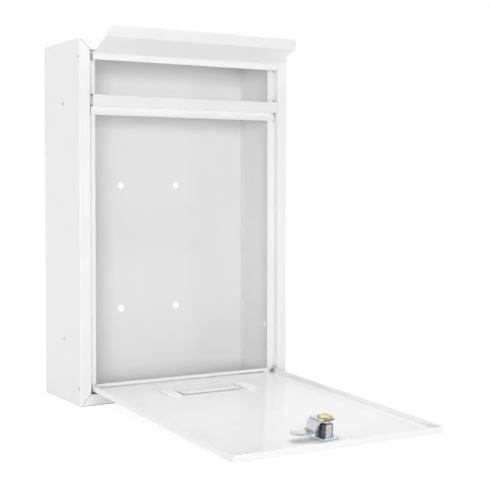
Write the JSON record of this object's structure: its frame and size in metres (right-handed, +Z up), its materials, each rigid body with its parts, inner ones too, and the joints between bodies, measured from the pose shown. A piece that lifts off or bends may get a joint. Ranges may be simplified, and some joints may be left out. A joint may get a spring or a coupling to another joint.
{
  "type": "letter box",
  "caption": "White sheet-steel wall letter box with a raised insert flap over the slot and a drop-down front door that has a name holder and a cam lock.",
  "frame": {"origin": "centre of the four wall screw holes, on the back face", "axes": "+X to the right seen from the front, +Y towards the wall, +Z up; the door is open and the flap raised"},
  "size_m": [0.215, 0.3286, 0.3314],
  "materials": {
    "white_paint": "gloss",
    "pin_steel": "satin",
    "clear_plastic": "gloss",
    "white_card": "matte",
    "bright_zinc": "satin",
    "nut_zinc": "satin",
    "yellow_zinc": "satin",
    "brass": "satin",
    "spring_steel": "satin"
  },
  "bodies": {
    "case": {"body_shell": "white_paint", "back_panel": "white_paint", "crossbar": "white_paint", "flap_pin_left": "pin_steel", "flap_pin_right": "pin_steel", "door_pin_left": "pin_steel", "door_pin_right": "pin_steel"},
    "flap": {"flap": "white_paint"},
    "door": {"door_panel": "white_paint", "name_holder": "clear_plastic", "name_card": "white_card", "lock_housing": "bright_zinc", "lock_nut": "nut_zinc"},
    "plug": {"lock_plug": "bright_zinc", "lock_cam": "yellow_zinc", "cam_screw": "brass", "wafer_spring_1": "spring_steel", "wafer_spring_2": "spring_steel", "wafer_spring_3": "spring_steel", "wafer_spring_4": "spring_steel"},
    "wafer_1": {"lock_wafer_1": "brass"},
    "wafer_2": {"lock_wafer_2": "brass"},
    "wafer_3": {"lock_wafer_3": "brass"},
    "wafer_4": {"lock_wafer_4": "brass"}
  },
  "joints": [
    {"name": "door_hinge", "type": "hinge", "parent": "case", "child": "door", "pos_m": [0, -0.0808, -0.1192], "axis": [-1, 0, 0], "range_deg": [0, 92.8]},
    {"name": "flap_hinge", "type": "hinge", "parent": "case", "child": "flap", "pos_m": [0, -0.0808, 0.1725], "axis": [1, 0, 0], "range_deg": [-20, 107.5]},
    {"name": "lock_turn", "type": "hinge", "parent": "door", "child": "plug", "pos_m": [-0.001, -0.30373, -0.1301], "axis": [0, -0.0488, 0.9988], "range_deg": [0, 90]},
    {"name": "wafer_1_slide", "type": "slide", "parent": "plug", "child": "wafer_1", "axis": [1, 0, 0], "range_m": [0, 0.0006]},
    {"name": "wafer_2_slide", "type": "slide", "parent": "plug", "child": "wafer_2", "axis": [1, 0, 0], "range_m": [0, 0.0006]},
    {"name": "wafer_3_slide", "type": "slide", "parent": "plug", "child": "wafer_3", "axis": [1, 0, 0], "range_m": [0, 0.0006]},
    {"name": "wafer_4_slide", "type": "slide", "parent": "plug", "child": "wafer_4", "axis": [1, 0, 0], "range_m": [0, 0.0006]}
  ]
}
